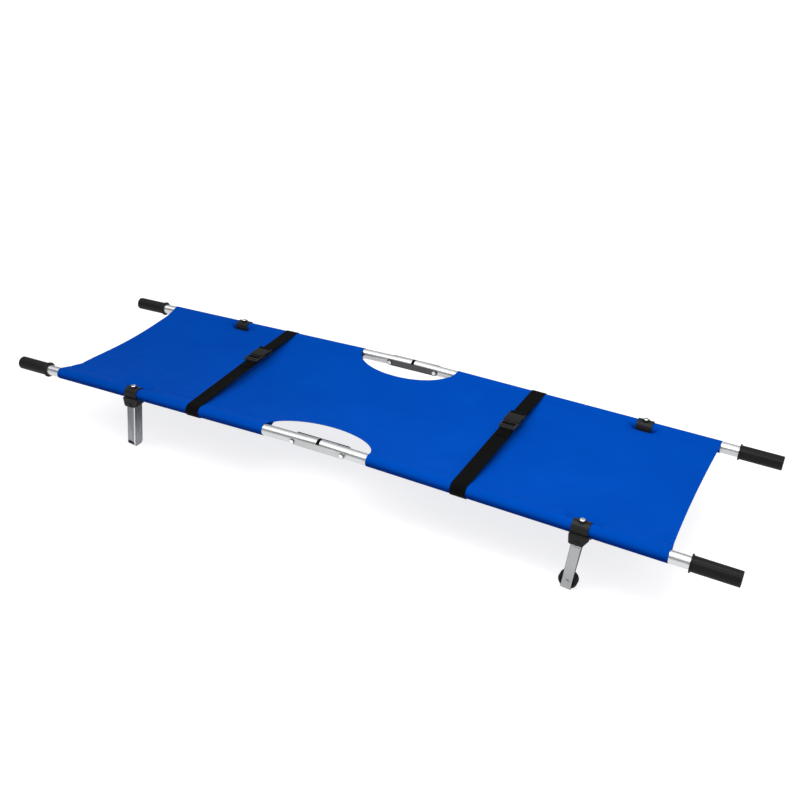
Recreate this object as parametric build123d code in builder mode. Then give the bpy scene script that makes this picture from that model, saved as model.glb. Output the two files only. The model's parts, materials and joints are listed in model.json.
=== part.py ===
from build123d import *
import os
from math import acos, atan2, cos, degrees, radians, sin

# Folding stretcher: two hinged tube poles, a fabric bed, spreaders, fold-down legs and two straps.
#
# Millimetres. +X runs from the head end to the foot end, +Y to the left pole, +Z up. The origin is
# on the floor under the middle of the stretcher. Each pole has a head half and a foot half, joined
# by a link. A half has its own frame on its hinge rivet: x outward along the tube, z square to it.

# --- driving dimensions ---------------------------------------------------------------------------
overall_length = 2080.0
pole_spacing = 515.0
folded_spacing = 80.0
hinge_height = 176.0
pole_end_height = 156.0
rivet_offset = 73.0  # hinge rivet to mid length

tube_radius = 15.0
tube_wall = 1.5
running_gap = 0.05
tube_start = -68.5
plug_face = -71.0
plug_spigot = 16.0

grip_radius = 18.4
grip_length = 108.0
grip_flange_radius = 21.5
grip_flange = 3.0
grip_cap = 5.0
flute_count = 16
flute_radius = 0.65

bed_end_x = 886.0
sleeve_inner = 15.3
sleeve_outer = 16.5
cutout_centre_x = -15.0
cutout_half_length = 155.0
cutout_depth = 90.0
cloth = 2.0
bed_edge = 240.5  # half width of the sheet between the sleeves
bed_edge_lift = 9.5
end_dip = 2.0  # mid-width height of the sheet below the tube axis at the bed's ends
mid_dip = 12.0
hem_corner = 42.0  # where the end's hem leaves the straight cut of the sleeve
end_corner = {"head": 16.0, "foot": 2.5}  # how far in the hem stands at that corner
end_hollow = {"head": 17.0, "foot": 7.0}  # and at mid width
panel_gap = 0.3

head_station_x = 609.0
foot_station_x = 688.0
clamp_inner = 16.9
clamp_outer = 19.4
upper_clamp_length = 41.0
upper_clamp_side = 4.5
boss_radius = 10.0
boss_top = 21.0
rivet_radius = 4.0
rivet_head_radius = 7.5
rivet_head = 4.0

shell_top = -6.0
shell_back = 21.0
shell_front = 27.0
cheek_inner_face = 23.2
cheek = 2.3
inner_cheek_face = -10.6
cheek_bottom = -32.0
leg_pivot = -26.0
stop_gap = 0.4

tab_top = -12.5
tab = 2.5
arm_offset = 30.0
arm_width = 16.0
arm_thickness = 2.5
right_arm_top = -15.5
left_arm_top = -18.4
pin_radius = 3.0
pin_head_radius = 5.5
pin_head = 1.8

sheet = 2.0
web_face = 22.0
plain_leg_width = 27.0
plain_leg_depth = 32.0
plain_leg_lean = 9.0  # both kinds of leg lean towards the head end
wheel_leg_width = 26.0
wheel_leg_depth = 14.0
wheel_leg_lean = 5.0
channel_bend = 2.6
tongue_radius = 5.8
web_cutback = 18.0
leg_lift = 3.0  # the wheel leg's end over the floor
leg_reach = 60.0  # past a leg on every side

wheel_radius = 23.0
wheel_width = 18.6
wheel_centre = 9.8
hub_recess = 3.0
axle_radius = 3.0
axle_head_radius = 4.4
axle_head = 1.4

link_inner = 15.6
link_outer = 17.6
link_width = 18.5
link_rivet_head_radius = 7.0
link_rivet_head = 3.5

strap_width = 40.0
strap_thickness = 1.5
strap_inner = 16.8
strap_edge = 238.0
strap_x = {("head", "right"): 395.0, ("head", "left"): 430.0,
           ("foot", "right"): 389.0, ("foot", "left"): 386.0}

buckle_bottom = 19.8
buckle_thickness = 10.0
buckle_width = 46.0
socket_length = 50.0
socket_y = 54.0  # the socket's mouth, towards the right pole
cavity_depth = 33.0
cavity_width = 38.0
cavity_height = 5.2
prong_length = 30.0
tongue_plate = 32.0
tongue_thickness = 4.4
webbing_slot = 4.0
tongue_gap = 0.4

# --- worked out from them -------------------------------------------------------------------------
half_run = overall_length / 2 - rivet_offset
slope = degrees(atan2(hinge_height - pole_end_height, half_run))
half_length = half_run / cos(radians(slope))
grip_start = half_length - grip_length
tube_end = half_length - grip_cap
arm_length = (pole_spacing - 2 * arm_offset) / 2
arm_swing = degrees(acos((folded_spacing - 2 * arm_offset) / (2 * arm_length)))
ends = (("head", -1, head_station_x), ("foot", 1, foot_station_x))
sides = (("right", -1), ("left", 1))


def half_frame(end, side):
    """A pole half's frame: on its hinge rivet, x outward along the tube, z square to it."""
    rivet = Pos(end * rivet_offset, side * pole_spacing / 2, hinge_height)
    return rivet * Rot(0, 0, 0 if end > 0 else 180) * Rot(0, slope, 0)


def across(frame, x):
    """The plane square to the tube at x; its own x is the frame's y, its y the frame's z."""
    return Plane(frame * Plane.YZ.offset(x).location)


def upright(frame, y):
    """The plane along the tube at y; its own x and y are the frame's x and z."""
    return Plane(frame * Plane.XZ.offset(-y).location)


def level(frame, z):
    """The plane that holds the frame's x and y at height z."""
    return Plane(frame * Pos(0, 0, z))


def along(x):
    """The distance along a half's tube of a point x from mid length."""
    return (x - rivet_offset) / cos(radians(slope))


def leg_frame(frame, station, forward, lean):
    """A leg's own frame: its origin on the leg's pivot, its z up along the leaning leg."""
    return frame * Pos(station, 0, leg_pivot) * Rot(0, forward * lean, 0)


def drop_to(frame, height):
    """The z in a frame, over its origin, of a point at this height over the floor."""
    return (height - frame.position.Z) / Plane(frame).z_dir.Z


def save(piece, label):
    """Labels the piece and writes its STEP file."""
    piece.label = label
    export_step(piece, f"parts/{label}.step")


# --- pole pieces ----------------------------------------------------------------------------------
def make_tube(frame, station, label):
    with BuildPart() as tube:
        with BuildSketch(across(frame, tube_start)):
            Circle(tube_radius)
            Circle(tube_radius - tube_wall, mode=Mode.SUBTRACT)
        extrude(amount=tube_end - tube_start)
        with BuildSketch(upright(frame, 0)):
            Circle(rivet_radius + running_gap)
        extrude(amount=tube_radius + 1, both=True, mode=Mode.SUBTRACT)
        with BuildSketch(level(frame, 0)):
            with Locations((station, 0)):
                Circle(rivet_radius + running_gap)
        extrude(amount=tube_radius + 1, both=True, mode=Mode.SUBTRACT)
    save(tube.part, label)


def make_hinge_plug(frame, label):
    spigot_radius = tube_radius - tube_wall - running_gap
    with BuildPart() as plug:
        with BuildSketch(across(frame, plug_face)):
            Circle(tube_radius)
        extrude(amount=tube_start - plug_face)
        chamfer(plug.edges().filter_by(GeomType.CIRCLE).sort_by_distance(frame.position)[-1], 0.8)
        with BuildSketch(across(frame, tube_start)):
            Circle(spigot_radius)
            Circle(spigot_radius - 2, mode=Mode.SUBTRACT)
        extrude(amount=plug_spigot)
    save(plug.part, label)


def make_grip(frame, label):
    with BuildPart() as grip:
        with BuildSketch(across(frame, grip_start)):
            Circle(grip_flange_radius)
        extrude(amount=grip_flange)
        with BuildSketch(across(frame, grip_start)):
            Circle(grip_radius)
        extrude(amount=grip_length)
        rim = grip.faces().filter_by(GeomType.PLANE).sort_by_distance(frame.position)[-1]
        fillet(rim.edges(), 2.0)
        with BuildSketch(across(frame, grip_start + grip_flange + 4)):
            with PolarLocations(grip_radius + 0.15, flute_count, start_angle=180 / flute_count):
                Circle(flute_radius)
        extrude(amount=grip_length - grip_flange - 9, mode=Mode.SUBTRACT)
        with BuildSketch(across(frame, grip_start)):
            Circle(tube_radius + 0.1)
        extrude(amount=grip_length - grip_cap, mode=Mode.SUBTRACT)
    save(grip.part, label)


def make_sleeve(frame, start, station, label):
    with BuildPart() as sleeve:
        with BuildSketch(across(frame, start)):
            Circle(sleeve_outer)
            Circle(sleeve_inner, mode=Mode.SUBTRACT)
        extrude(amount=along(bed_end_x) - start)
        with BuildSketch(level(frame, 0)):
            with Locations((station, 0)):
                Circle(rivet_radius + 0.2)
        extrude(amount=sleeve_outer + 1, both=True, mode=Mode.SUBTRACT)
    save(sleeve.part, label)


# --- clamps over each leg station -----------------------------------------------------------------
def make_upper_clamp(frame, station, label):
    with BuildPart() as clamp:
        with BuildSketch(across(frame, station)):
            Circle(clamp_outer)
            Rectangle(2 * clamp_outer, clamp_outer, align=(Align.CENTER, Align.MAX), mode=Mode.SUBTRACT)
            Rectangle(2 * clamp_outer, upper_clamp_side, align=(Align.CENTER, Align.MAX))
            Circle(clamp_inner, mode=Mode.SUBTRACT)
            Rectangle(2 * clamp_inner, clamp_outer, align=(Align.CENTER, Align.MAX), mode=Mode.SUBTRACT)
        extrude(amount=upper_clamp_length / 2, both=True)
        with BuildSketch(level(frame, clamp_inner + 0.6)):
            with Locations((station, 0)):
                Circle(boss_radius)
        extrude(amount=boss_top - clamp_inner - 0.6)
        with BuildSketch(level(frame, clamp_inner - 1)):
            with Locations((station, 0)):
                Circle(rivet_radius + running_gap)
        extrude(amount=boss_top, mode=Mode.SUBTRACT)
    save(clamp.part, label)


def make_lower_clamp(frame, station, out, forward, leg_width, label):
    """The shell under the tube, two cheeks for the leg, the leg's stop and the spreader's tab."""
    front = forward * shell_front
    back = -forward * shell_back
    stop_wall = leg_width / 2 + stop_gap
    outer_cheek = out * (cheek_inner_face + cheek / 2)
    inner_cheek = out * (inner_cheek_face - cheek / 2)
    with BuildPart() as clamp:
        with BuildSketch(across(frame, station + (front + back) / 2)):
            Circle(clamp_outer)
            Circle(clamp_inner, mode=Mode.SUBTRACT)
            with Locations((0, shell_top)):
                Rectangle(3 * clamp_outer, 3 * clamp_outer,
                          align=(Align.CENTER, Align.MIN), mode=Mode.SUBTRACT)
            shoulder = cheek_inner_face + cheek - clamp_inner - 1.2
            with Locations((out * (cheek_inner_face + cheek - shoulder / 2), shell_top - cheek / 2)):
                Rectangle(shoulder, cheek)
        extrude(amount=(shell_front + shell_back) / 2, both=True)
        with BuildSketch(upright(frame, outer_cheek)):
            with BuildLine():
                Polyline((station + front, shell_top), (station + front, shell_top - 5),
                         (station + forward * (stop_wall + cheek), cheek_bottom + 3),
                         (station + forward * (stop_wall + cheek - 3), cheek_bottom),
                         (station - forward * 16, cheek_bottom),
                         (station - forward * 19, cheek_bottom + 3),
                         (station + back, shell_top), close=True)
            make_face()
        extrude(amount=cheek / 2, both=True)
        with BuildSketch(upright(frame, inner_cheek)):
            with BuildLine():
                Polyline((station - forward * 12, -15.5),
                         (station + forward * (stop_wall + cheek), -15.5),
                         (station + forward * (stop_wall + cheek), cheek_bottom),
                         (station - forward * 12, cheek_bottom), close=True)
            make_face()
        extrude(amount=cheek / 2, both=True)
        wall_span = cheek_inner_face - inner_cheek_face
        wall_middle = out * (cheek_inner_face + inner_cheek_face) / 2
        with BuildSketch(across(frame, station + forward * (stop_wall + cheek / 2))):
            with Locations((wall_middle, cheek_bottom + 1)):
                Rectangle(wall_span, clamp_outer, align=(Align.CENTER, Align.MIN))
            Circle(clamp_inner, mode=Mode.SUBTRACT)
        extrude(amount=cheek / 2, both=True)
        with BuildSketch(level(frame, tab_top - tab / 2)):
            with Locations((station, -out * (12.2 + arm_offset) / 2)):
                Rectangle(2 * pin_head_radius + 6, arm_offset - 12.2)
            with Locations((station, -out * arm_offset)):
                Circle(pin_head_radius + 3)
                Circle(pin_radius + running_gap, mode=Mode.SUBTRACT)
        extrude(amount=tab / 2, both=True)
        with BuildSketch(level(frame, -clamp_inner)):
            with Locations((station, 0)):
                Circle(rivet_radius + running_gap)
        extrude(amount=2 * tab, both=True, mode=Mode.SUBTRACT)
        with BuildSketch(upright(frame, 0)):
            with Locations((station, leg_pivot)):
                Circle(pin_radius + running_gap)
        extrude(amount=2 * clamp_outer, both=True, mode=Mode.SUBTRACT)
    save(clamp.part, label)


def make_clamp_rivets(frame, station, out, arm_top, label):
    """The vertical clamp rivet, the leg's pivot pin and the spreader's pivot pin."""
    pin_outer = cheek_inner_face + cheek
    pin_inner = inner_cheek_face - cheek
    with BuildPart() as rivets:
        with BuildSketch(level(frame, -clamp_outer)):
            with Locations((station, 0)):
                Circle(rivet_radius)
        extrude(amount=boss_top + clamp_outer)
        with BuildSketch(level(frame, boss_top)):
            with Locations((station, 0)):
                Circle(rivet_head_radius)
        extrude(amount=rivet_head)
        crown = rivets.faces().sort_by(Axis.Z)[-1]
        fillet(crown.edges(), rivet_head - 0.4)
        with BuildSketch(level(frame, -clamp_outer)):
            with Locations((station, 0)):
                Circle(rivet_head_radius - 1)
        extrude(amount=-pin_head)

        with BuildSketch(upright(frame, out * (pin_outer + pin_inner) / 2)):
            with Locations((station, leg_pivot)):
                Circle(pin_radius)
        extrude(amount=(pin_outer - pin_inner) / 2, both=True)
        for face, way in ((pin_outer, 1), (pin_inner, -1)):
            with BuildSketch(upright(frame, out * (face + way * pin_head / 2))):
                with Locations((station, leg_pivot)):
                    Circle(pin_head_radius)
            extrude(amount=pin_head / 2, both=True)

        pivot = (station, -out * arm_offset)
        arm_bottom = arm_top - arm_thickness
        with BuildSketch(level(frame, arm_bottom - running_gap)):
            with Locations(pivot):
                Circle(pin_radius)
        extrude(amount=tab_top - arm_bottom + running_gap)
        with BuildSketch(level(frame, tab_top)):
            with Locations(pivot):
                Circle(pin_head_radius)
        extrude(amount=pin_head)
        with BuildSketch(level(frame, arm_bottom - running_gap - 0.15)):
            with Locations(pivot):
                Circle(pin_head_radius)
        extrude(amount=-pin_head)
        with BuildSketch(level(frame, arm_bottom - running_gap)):
            with Locations(pivot):
                Circle(pin_radius)
        extrude(amount=-0.2)
        spacer = tab_top - tab - arm_top
        if spacer > 1:
            with BuildSketch(level(frame, tab_top - tab)):
                with Locations(pivot):
                    Circle(pin_head_radius)
            extrude(amount=-(spacer - 0.2))
    save(rivets.part, label)


# --- legs and wheels ------------------------------------------------------------------------------
def leg_blank(frame, out, forward, width, depth, taper, bottom):
    """A pressed channel: a full-width web with a round top, and flanges cut back to fold flat."""
    half_width = width / 2
    web_inner = out * (web_face - sheet)
    web_outer = out * web_face
    with BuildPart() as flange_limit:
        with BuildSketch(upright(frame, leg_reach)):
            with BuildLine():
                Polyline((forward * half_width, 2), (forward * half_width, bottom),
                         (-forward * half_width, bottom), (-forward * half_width, -taper),
                         (-forward * tongue_radius, 0), close=True)
            make_face()
            Circle(tongue_radius)
        extrude(amount=2 * leg_reach)
    with BuildPart() as web_limit:
        with BuildSketch(upright(frame, (web_inner + web_outer) / 2)):
            with Locations((0, tongue_radius - half_width)):
                Circle(half_width)
                Rectangle(width, tongue_radius - half_width - bottom, align=(Align.CENTER, Align.MAX))
        extrude(amount=sheet / 2, both=True)
    with BuildPart() as channel:
        with BuildSketch(level(frame, tongue_radius)):
            with Locations((0, out * (web_face - depth / 2))):
                outline = Rectangle(width, depth)
            fillet(outline.vertices().group_by(Axis.Y)[-1 if out > 0 else 0], channel_bend)
            with Locations((0, out * (web_face - depth / 2 - sheet))):
                Rectangle(width - 2 * sheet, depth, mode=Mode.SUBTRACT)
        extrude(amount=bottom - tongue_radius)
        add(flange_limit.part + web_limit.part, mode=Mode.INTERSECT)
        with BuildSketch(upright(frame, web_outer)):
            Circle(pin_radius + running_gap)
        extrude(amount=2 * sheet, both=True, mode=Mode.SUBTRACT)
    return channel.part


def make_plain_leg(frame, out, forward, label):
    floor = drop_to(frame, 0)
    bottom = floor - 8
    lowest = floor - 0.4 - plain_leg_width / 2 * sin(radians(plain_leg_lean - slope))
    middle = web_face - plain_leg_depth / 2
    mouth = plain_leg_width - 2 * sheet
    with BuildPart() as leg:
        add(leg_blank(frame, out, forward, plain_leg_width, plain_leg_depth, 40, bottom))
        with BuildSketch(across(frame, -leg_reach)):
            with Locations((out * middle, lowest + plain_leg_depth / 2)):
                Circle(plain_leg_depth / 2)
                Rectangle(plain_leg_depth, 2 * hinge_height, align=(Align.CENTER, Align.MIN))
        extrude(amount=2 * leg_reach, mode=Mode.INTERSECT)
        with BuildSketch(upright(frame, out * web_face)):
            with Locations((0, floor + web_cutback - mouth / 4)):
                Ellipse(mouth / 2, mouth / 4)
                Rectangle(mouth, 2 * web_cutback, align=(Align.CENTER, Align.MAX))
        extrude(amount=2 * sheet, both=True, mode=Mode.SUBTRACT)
        split(bisect_by=Plane.XY, keep=Keep.TOP)
    save(leg.part, label)


def make_wheel_leg(frame, out, forward, label):
    axle = drop_to(frame, wheel_radius)
    bottom = axle - wheel_radius + leg_lift
    flange_end = axle + wheel_radius + 6
    open_side = web_face - wheel_leg_depth
    web_inner = web_face - sheet
    with BuildPart() as leg:
        add(leg_blank(frame, out, forward, wheel_leg_width, wheel_leg_depth, 44, bottom))
        with BuildSketch(across(frame, -leg_reach)):
            with BuildLine():
                Polyline((out * web_face, 2 * tongue_radius), (out * open_side, 2 * tongue_radius),
                         (out * open_side, -12), (out * (web_inner - 2), flange_end),
                         (out * web_inner, flange_end - 2), (out * web_inner, bottom - 1),
                         (out * web_face, bottom - 1), close=True)
            make_face()
        extrude(amount=2 * leg_reach, mode=Mode.INTERSECT)
        with BuildSketch(upright(frame, out * web_face)):
            with Locations((0, axle)):
                Circle(axle_radius + running_gap)
        extrude(amount=2 * sheet, both=True, mode=Mode.SUBTRACT)
        with BuildSketch(upright(frame, out * web_face)):
            for x in (-7.2, 0, 7.2):
                with BuildLine():
                    bead = CenterArc((x, -11.5), 2.4, 200, 140)
                trace(bead, line_width=1.3)
        extrude(amount=0.7, both=True)
    save(leg.part, label)


def make_axle(frame, out, label):
    axle = drop_to(frame, wheel_radius)
    inner = wheel_centre - wheel_width / 2 - 0.5
    with BuildPart() as pin:
        with BuildSketch(upright(frame, out * (web_face + inner) / 2)):
            with Locations((0, axle)):
                Circle(axle_radius)
        extrude(amount=(web_face - inner) / 2, both=True)
        for face, way in ((web_face, 1), (inner, -1)):
            with BuildSketch(upright(frame, out * (face + way * axle_head / 2))):
                with Locations((0, axle)):
                    Circle(axle_head_radius)
            extrude(amount=axle_head / 2, both=True)
    save(pin.part, label)


def make_wheel(frame, out, label):
    axle = drop_to(frame, wheel_radius)
    with BuildPart() as wheel:
        with BuildSketch(upright(frame, out * wheel_centre)):
            with Locations((0, axle)):
                Circle(wheel_radius)
        extrude(amount=wheel_width / 2, both=True)
        fillet(wheel.edges().filter_by(GeomType.CIRCLE), 3.5)
        for way in (-1, 1):
            with BuildSketch(upright(frame, out * wheel_centre + way * wheel_width / 2)):
                with Locations((0, axle)):
                    Circle(wheel_radius - 7)
                    Circle(axle_radius + 5, mode=Mode.SUBTRACT)
            extrude(amount=hub_recess, both=True, mode=Mode.SUBTRACT)
        with BuildSketch(upright(frame, out * wheel_centre)):
            with Locations((0, axle)):
                Circle(axle_radius + running_gap)
        extrude(amount=wheel_width, both=True, mode=Mode.SUBTRACT)
    save(wheel.part, label)


# --- hinge links ----------------------------------------------------------------------------------
def make_link(frame, label):
    """The two straight plates that hold a pole's halves, inside and outside."""
    with BuildPart() as link:
        for way in (-1, 1):
            with BuildSketch(upright(frame, way * (link_inner + link_outer) / 2)):
                SlotCenterToCenter(2 * rivet_offset, link_width)
                with Locations((-rivet_offset, 0), (rivet_offset, 0)):
                    Circle(rivet_radius + running_gap, mode=Mode.SUBTRACT)
            extrude(amount=(link_outer - link_inner) / 2, both=True)
    save(link.part, label)


def make_link_rivets(frame, label):
    with BuildPart() as rivets:
        with BuildSketch(upright(frame, 0)):
            with Locations((-rivet_offset, 0), (rivet_offset, 0)):
                Circle(rivet_radius)
        extrude(amount=link_outer, both=True)
        for way in (-1, 1):
            with BuildSketch(upright(frame, way * (link_outer + link_rivet_head / 2))):
                with Locations((-rivet_offset, 0), (rivet_offset, 0)):
                    Circle(link_rivet_head_radius)
            extrude(amount=link_rivet_head / 2, both=True)
            crowns = rivets.faces().sort_by(Axis.Y)
            crowns = crowns[-2:] if way > 0 else crowns[:2]
            fillet(crowns.edges(), link_rivet_head - 0.4)
    save(rivets.part, label)


# --- spreaders ------------------------------------------------------------------------------------
def make_arm(frame, station, out, top, label):
    """A flat bar from the pivot beside the pole to the knee at mid width."""
    with BuildPart() as arm:
        with BuildSketch(level(frame, top - arm_thickness / 2)):
            with Locations((station, -out * (arm_offset + arm_length / 2))):
                Rectangle(arm_width, arm_length)
            for reach in (arm_offset, arm_offset + arm_length):
                with Locations((station, -out * reach)):
                    Circle(arm_width / 2)
                    Circle(pin_radius + running_gap, mode=Mode.SUBTRACT)
        extrude(amount=arm_thickness / 2, both=True)
    save(arm.part, label)


def make_knee_pin(frame, station, out, label):
    knee = (station, -out * (arm_offset + arm_length))
    low = left_arm_top - arm_thickness - 0.2
    high = right_arm_top
    with BuildPart() as pin:
        with BuildSketch(level(frame, low)):
            with Locations(knee):
                Circle(pin_radius)
        extrude(amount=high - low)
        with BuildSketch(level(frame, high)):
            with Locations(knee):
                Circle(pin_head_radius)
        extrude(amount=1.0)
        with BuildSketch(level(frame, low)):
            with Locations(knee):
                Circle(pin_head_radius)
        extrude(amount=-pin_head)
    save(pin.part, label)


# --- bed and straps -------------------------------------------------------------------------------
def bed_section(plane, dip):
    """The sheet's cross-section: an arc hung between the two sleeves."""
    with BuildSketch(plane) as section:
        with BuildLine():
            ThreePointArc((-bed_edge, bed_edge_lift), (0, -dip), (bed_edge, bed_edge_lift))
            Line((bed_edge, bed_edge_lift), (bed_edge, bed_edge_lift + cloth))
            ThreePointArc((bed_edge, bed_edge_lift + cloth), (0, cloth - dip),
                          (-bed_edge, bed_edge_lift + cloth))
            Line((-bed_edge, bed_edge_lift + cloth), (-bed_edge, bed_edge_lift))
        make_face()
    return section.sketch


def hand_gap_cutter():
    """The two half-moons that the bed leaves open beside the poles' hinges."""
    with BuildPart() as cutter:
        with BuildSketch(Plane.XY.offset(hinge_height)):
            with Locations((cutout_centre_x, -pole_spacing / 2), (cutout_centre_x, pole_spacing / 2)):
                Ellipse(cutout_half_length, cutout_depth)
        extrude(amount=4 * tube_radius, both=True)
    return cutter.part


def make_end_panel(end_name, end, label):
    frame = half_frame(end, 0)
    start = panel_gap
    finish = along(bed_end_x)
    corner_x = finish - end_corner[end_name]
    corner_y = bed_edge - hem_corner
    with BuildPart() as panel:
        loft([bed_section(across(frame, start), mid_dip).face(),
              bed_section(across(frame, finish), end_dip).face()])
        with BuildSketch(level(frame, 0)):
            with BuildLine():
                Line((finish + 1, -bed_edge), (finish, -bed_edge))
                Line((finish, -bed_edge), (corner_x, -corner_y))
                ThreePointArc((corner_x, -corner_y), (finish - end_hollow[end_name], 0),
                              (corner_x, corner_y))
                Line((corner_x, corner_y), (finish, bed_edge))
                Line((finish, bed_edge), (finish + 1, bed_edge))
                Line((finish + 1, bed_edge), (finish + 1, -bed_edge))
            make_face()
        extrude(amount=2 * tube_radius, both=True, mode=Mode.SUBTRACT)
        add(hand_gap_cutter(), mode=Mode.SUBTRACT)
    save(panel.part, label)


def make_mid_panel(label):
    frame = Pos(0, 0, hinge_height)
    section = bed_section(across(frame, 0), mid_dip)
    with BuildPart() as panel:
        extrude(section, amount=rivet_offset - panel_gap, both=True)
        add(hand_gap_cutter(), mode=Mode.SUBTRACT)
    save(panel.part, label)


def make_strap_wrap(frame, u, label):
    with BuildPart() as wrap:
        with BuildSketch(across(frame, u)):
            Circle(strap_inner + strap_thickness)
            Circle(strap_inner, mode=Mode.SUBTRACT)
        extrude(amount=strap_width / 2, both=True)
    save(wrap.part, label)


def make_webbing(end, right_u, left_u, label):
    """The taut run of a strap over the bed, between the wraps on the two poles."""
    frame = half_frame(end, 0)
    half_width = strap_width / 2
    with BuildPart() as webbing:
        with BuildSketch(level(frame, strap_inner)):
            with BuildLine():
                Polyline((right_u - half_width, -end * strap_edge),
                         (right_u + half_width, -end * strap_edge),
                         (left_u + half_width, end * strap_edge),
                         (left_u - half_width, end * strap_edge), close=True)
            make_face()
        extrude(amount=strap_thickness)
    save(webbing.part, label)


def buckle_frame(end, right_u, left_u):
    """On the strap's middle line at the socket's mouth: y towards the left pole, z up."""
    share = (socket_y + pole_spacing / 2) / pole_spacing
    u = right_u + (left_u - right_u) * share
    half = half_frame(end, 0)
    return half * Pos(u, end * socket_y, buckle_bottom) * Rot(0, 0, 0 if end > 0 else 180)


def make_socket(frame, label):
    with BuildPart() as socket:
        with BuildSketch(level(frame, 0)):
            with Locations((0, socket_length / 2)):
                RectangleRounded(buckle_width, socket_length, 6)
        extrude(amount=buckle_thickness)
        fillet(socket.faces().sort_by(Axis.Z)[-1].edges(), 2.0)
        with BuildSketch(level(frame, (buckle_thickness - cavity_height) / 2)):
            with Locations((0, (cavity_depth - 8) / 2)):
                Rectangle(cavity_width, cavity_depth + 8)
        extrude(amount=cavity_height, mode=Mode.SUBTRACT)
        with BuildSketch(level(frame, 0)):
            with Locations((0, socket_length - 7)):
                Rectangle(buckle_width - 8, webbing_slot)
        extrude(amount=buckle_thickness, mode=Mode.SUBTRACT)
        with BuildSketch(level(frame, (buckle_thickness - cavity_height) / 2)):
            with Locations((-buckle_width / 2, 19), (buckle_width / 2, 19)):
                Rectangle(9, 15)
        extrude(amount=cavity_height, mode=Mode.SUBTRACT)
    save(socket.part, label)


def make_tongue(frame, label):
    height = (buckle_thickness - tongue_thickness) / 2
    prong_side = (cavity_width - 2 * tongue_gap) / 2
    with BuildPart() as tongue:
        with BuildSketch(level(frame, height)):
            with Locations((0, -tongue_plate / 2 - 0.5)):
                RectangleRounded(buckle_width - 2, tongue_plate, 4)
            with Locations((0, -6), (0, -16), (0, -26)):
                Rectangle(buckle_width - 10, webbing_slot, mode=Mode.SUBTRACT)
            with Locations((0, prong_length / 2 - 1)):
                Rectangle(7, prong_length)
            with Locations((-prong_side + 3, prong_length / 2 - 1),
                           (prong_side - 3, prong_length / 2 - 1)):
                Rectangle(6, prong_length)
        extrude(amount=tongue_thickness)
    save(tongue.part, label)


# --- the assembly ---------------------------------------------------------------------------------
os.makedirs("parts", exist_ok=True)

for end_name, end, station_x in ends:
    station = along(station_x)
    cutout_edge = cutout_half_length + end * cutout_centre_x
    for side_name, side in sides:
        half = f"{side_name}_{end_name}"
        frame = half_frame(end, side)
        out = side * end  # the outward side in the half's own y
        forward = end  # the stretcher's +X in the half's own x
        arm_top = right_arm_top if side < 0 else left_arm_top
        make_tube(frame, station, f"{half}_tube")
        make_hinge_plug(frame, f"{half}_hinge_plug")
        make_grip(frame, f"{half}_grip")
        make_sleeve(frame, along(cutout_edge), station, f"{half}_canvas_sleeve")
        make_upper_clamp(frame, station, f"{half}_upper_clamp")
        leg_width = plain_leg_width if end_name == "head" else wheel_leg_width
        make_lower_clamp(frame, station, out, forward, leg_width, f"{half}_lower_clamp")
        make_clamp_rivets(frame, station, out, arm_top, f"{half}_rivets")
        make_arm(frame, station, out, arm_top, f"{end_name}_spreader_arm_{side_name}")
        make_strap_wrap(frame, along(strap_x[end_name, side_name]), f"{half}_strap_wrap")
        if end_name == "head":
            leaning = leg_frame(frame, station, forward, plain_leg_lean)
            make_plain_leg(leaning, out, forward, f"{half}_leg")
        else:
            leaning = leg_frame(frame, station, forward, wheel_leg_lean)
            make_wheel_leg(leaning, out, forward, f"{half}_leg")
            make_axle(leaning, out, f"{side_name}_wheel_axle")
            make_wheel(leaning, out, f"{side_name}_wheel")

    right_u = along(strap_x[end_name, "right"])
    left_u = along(strap_x[end_name, "left"])
    make_knee_pin(half_frame(end, -1), station, -end, f"{end_name}_knee_pin")
    make_end_panel(end_name, end, f"{end_name}_canvas")
    make_webbing(end, right_u, left_u, f"{end_name}_strap_webbing")
    make_socket(buckle_frame(end, right_u, left_u), f"{end_name}_buckle_socket")
    make_tongue(buckle_frame(end, right_u, left_u), f"{end_name}_buckle_tongue")

make_mid_panel("mid_canvas")
for side_name, side in sides:
    link_frame = Pos(0, side * pole_spacing / 2, hinge_height)
    make_link(link_frame, f"{side_name}_hinge_link")
    make_link_rivets(link_frame, f"{side_name}_hinge_rivets")

print(f"slope {slope:.4f} deg, half length {half_length:.3f} mm")
print(f"spreader arm {arm_length:.2f} mm, swing {arm_swing:.4f} deg")
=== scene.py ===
import json
import math

import bpy
from mathutils import Matrix, Vector, noise


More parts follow.
